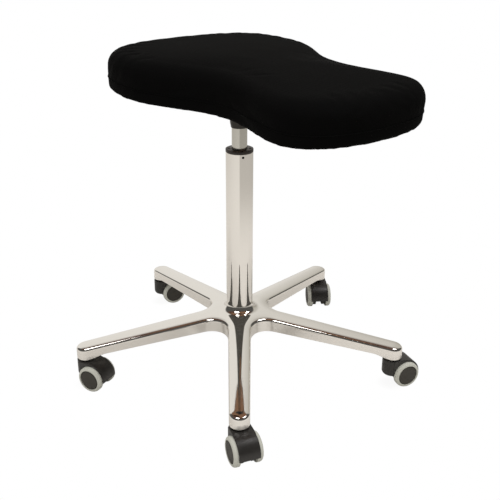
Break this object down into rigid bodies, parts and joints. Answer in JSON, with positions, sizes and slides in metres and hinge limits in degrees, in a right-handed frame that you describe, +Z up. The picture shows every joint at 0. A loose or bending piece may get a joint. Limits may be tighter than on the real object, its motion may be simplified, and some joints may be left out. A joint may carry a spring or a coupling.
{
  "type": "saddle stool",
  "caption": "Height-adjustable stool with a waisted upholstered seat on a gas-spring column and a polished star base with twin-wheel castors.",
  "frame": {"origin": "the column's axis at floor level", "axes": "+Z up along the column; -Y along the front arm of the base, towards the viewer of the picture; +X to the right"},
  "size_m": [0.6379, 0.6327, 0.6084],
  "materials": {
    "polished_aluminium": "polished",
    "polished_steel": "polished",
    "plain_steel": "satin",
    "black_steel": "satin",
    "black_plastic": "satin",
    "brown_plastic": "satin",
    "hub_plastic": "satin",
    "soft_tread": "matte",
    "black_rubber": "matte",
    "plywood": "matte",
    "black_upholstery": "matte"
  },
  "bodies": {
    "base": {"base_star": "polished_aluminium", "column_tube": "polished_aluminium", "guide_bush": "brown_plastic", "bush_grub_screw": "black_steel", "lower_bearing_race": "plain_steel", "bearing_ball_cage": "plain_steel", "front_castor_stem": "polished_steel", "front_right_castor_stem": "polished_steel", "rear_right_castor_stem": "polished_steel", "rear_left_castor_stem": "polished_steel", "front_left_castor_stem": "polished_steel"},
    "gas_spring_rod": {"piston_rod": "polished_steel", "piston": "black_plastic", "upper_bearing_race": "plain_steel", "rubber_buffer": "black_rubber", "rod_clip": "plain_steel"},
    "seat": {"pressure_cylinder": "polished_steel", "cone_socket": "black_steel", "seat_plate": "black_steel", "lever_pivot_pin": "plain_steel", "seat_board": "plywood", "seat_cushion": "black_upholstery", "seat_screw_front_left": "plain_steel", "seat_screw_front_right": "plain_steel", "seat_screw_rear_left": "plain_steel", "seat_screw_rear_right": "plain_steel"},
    "height_lever": {"release_lever": "plain_steel", "lever_grip": "black_plastic"},
    "valve_pin": {"release_pin": "plain_steel"},
    "front_castor": {"front_castor_housing": "black_plastic", "front_castor_axle": "plain_steel"},
    "front_left_wheel": {"front_castor_left_hub": "hub_plastic", "front_castor_left_tread": "soft_tread"},
    "front_right_wheel": {"front_castor_right_hub": "hub_plastic", "front_castor_right_tread": "soft_tread"},
    "front_right_castor": {"front_right_castor_housing": "black_plastic", "front_right_castor_axle": "plain_steel"},
    "front_right_left_wheel": {"front_right_castor_left_hub": "hub_plastic", "front_right_castor_left_tread": "soft_tread"},
    "front_right_right_wheel": {"front_right_castor_right_hub": "hub_plastic", "front_right_castor_right_tread": "soft_tread"},
    "rear_right_castor": {"rear_right_castor_housing": "black_plastic", "rear_right_castor_axle": "plain_steel"},
    "rear_right_left_wheel": {"rear_right_castor_left_hub": "hub_plastic", "rear_right_castor_left_tread": "soft_tread"},
    "rear_right_right_wheel": {"rear_right_castor_right_hub": "hub_plastic", "rear_right_castor_right_tread": "soft_tread"},
    "rear_left_castor": {"rear_left_castor_housing": "black_plastic", "rear_left_castor_axle": "plain_steel"},
    "rear_left_left_wheel": {"rear_left_castor_left_hub": "hub_plastic", "rear_left_castor_left_tread": "soft_tread"},
    "rear_left_right_wheel": {"rear_left_castor_right_hub": "hub_plastic", "rear_left_castor_right_tread": "soft_tread"},
    "front_left_castor": {"front_left_castor_housing": "black_plastic", "front_left_castor_axle": "plain_steel"},
    "front_left_left_wheel": {"front_left_castor_left_hub": "hub_plastic", "front_left_castor_left_tread": "soft_tread"},
    "front_left_right_wheel": {"front_left_castor_right_hub": "hub_plastic", "front_left_castor_right_tread": "soft_tread"}
  },
  "joints": [
    {"name": "seat_swivel", "type": "hinge", "parent": "base", "child": "gas_spring_rod", "pos_m": [0, 0, 0.07], "axis": [0, 0, 1], "continuous": true},
    {"name": "seat_height", "type": "slide", "parent": "gas_spring_rod", "child": "seat", "axis": [0, 0, 1], "range_m": [-0.025, 0.235]},
    {"name": "lever_pull", "type": "hinge", "parent": "seat", "child": "height_lever", "pos_m": [0.02119, 0.01673, 0.5256], "axis": [0.6198, -0.7848, 0], "range_deg": [0, 4.5], "stiffness_Nm_per_rad": 4, "springref_deg": -2.86},
    {"name": "valve_pin_press", "type": "slide", "parent": "seat", "child": "valve_pin", "axis": [0, 0, 1], "range_m": [-0.0022, 0]},
    {"name": "front_castor_swivel", "type": "hinge", "parent": "base", "child": "front_castor", "pos_m": [0, -0.299, 0.056], "axis": [0, 0, 1], "continuous": true},
    {"name": "front_left_wheel_spin", "type": "hinge", "parent": "front_castor", "child": "front_left_wheel", "pos_m": [0.00753, -0.31861, 0.025], "axis": [0.9336, 0.3584, 0], "continuous": true},
    {"name": "front_right_wheel_spin", "type": "hinge", "parent": "front_castor", "child": "front_right_wheel", "pos_m": [0.00753, -0.31861, 0.025], "axis": [0.9336, 0.3584, 0], "continuous": true},
    {"name": "front_right_castor_swivel", "type": "hinge", "parent": "base", "child": "front_right_castor", "pos_m": [0.28437, -0.0924, 0.056], "axis": [0, 0, 1], "continuous": true},
    {"name": "front_right_left_wheel_spin", "type": "hinge", "parent": "front_right_castor", "child": "front_right_left_wheel", "pos_m": [0.30384, -0.08453, 0.025], "axis": [-0.3746, 0.9272, 0], "continuous": true},
    {"name": "front_right_right_wheel_spin", "type": "hinge", "parent": "front_right_castor", "child": "front_right_right_wheel", "pos_m": [0.30384, -0.08453, 0.025], "axis": [-0.3746, 0.9272, 0], "continuous": true},
    {"name": "rear_right_castor_swivel", "type": "hinge", "parent": "base", "child": "rear_right_castor", "pos_m": [0.17575, 0.2419, 0.056], "axis": [0, 0, 1], "continuous": true},
    {"name": "rear_right_left_wheel_spin", "type": "hinge", "parent": "rear_right_castor", "child": "rear_right_left_wheel", "pos_m": [0.17721, 0.22095, 0.025], "axis": [0.9976, 0.0698, 0], "continuous": true},
    {"name": "rear_right_right_wheel_spin", "type": "hinge", "parent": "rear_right_castor", "child": "rear_right_right_wheel", "pos_m": [0.17721, 0.22095, 0.025], "axis": [0.9976, 0.0698, 0], "continuous": true},
    {"name": "rear_left_castor_swivel", "type": "hinge", "parent": "base", "child": "rear_left_castor", "pos_m": [-0.17575, 0.2419, 0.056], "axis": [0, 0, 1], "continuous": true},
    {"name": "rear_left_left_wheel_spin", "type": "hinge", "parent": "rear_left_castor", "child": "rear_left_left_wheel", "pos_m": [-0.15656, 0.25044, 0.025], "axis": [-0.4067, 0.9135, 0], "continuous": true},
    {"name": "rear_left_right_wheel_spin", "type": "hinge", "parent": "rear_left_castor", "child": "rear_left_right_wheel", "pos_m": [-0.15656, 0.25044, 0.025], "axis": [-0.4067, 0.9135, 0], "continuous": true},
    {"name": "front_left_castor_swivel", "type": "hinge", "parent": "base", "child": "front_left_castor", "pos_m": [-0.28437, -0.0924, 0.056], "axis": [0, 0, 1], "continuous": true},
    {"name": "front_left_left_wheel_spin", "type": "hinge", "parent": "front_left_castor", "child": "front_left_left_wheel", "pos_m": [-0.26565, -0.10193, 0.025], "axis": [0.454, 0.891, 0], "continuous": true},
    {"name": "front_left_right_wheel_spin", "type": "hinge", "parent": "front_left_castor", "child": "front_left_right_wheel", "pos_m": [-0.26565, -0.10193, 0.025], "axis": [0.454, 0.891, 0], "continuous": true}
  ],
  "couplings": [
    {"joint": "valve_pin_press", "follows": "lever_pull", "m_per_rad": -0.027}
  ]
}
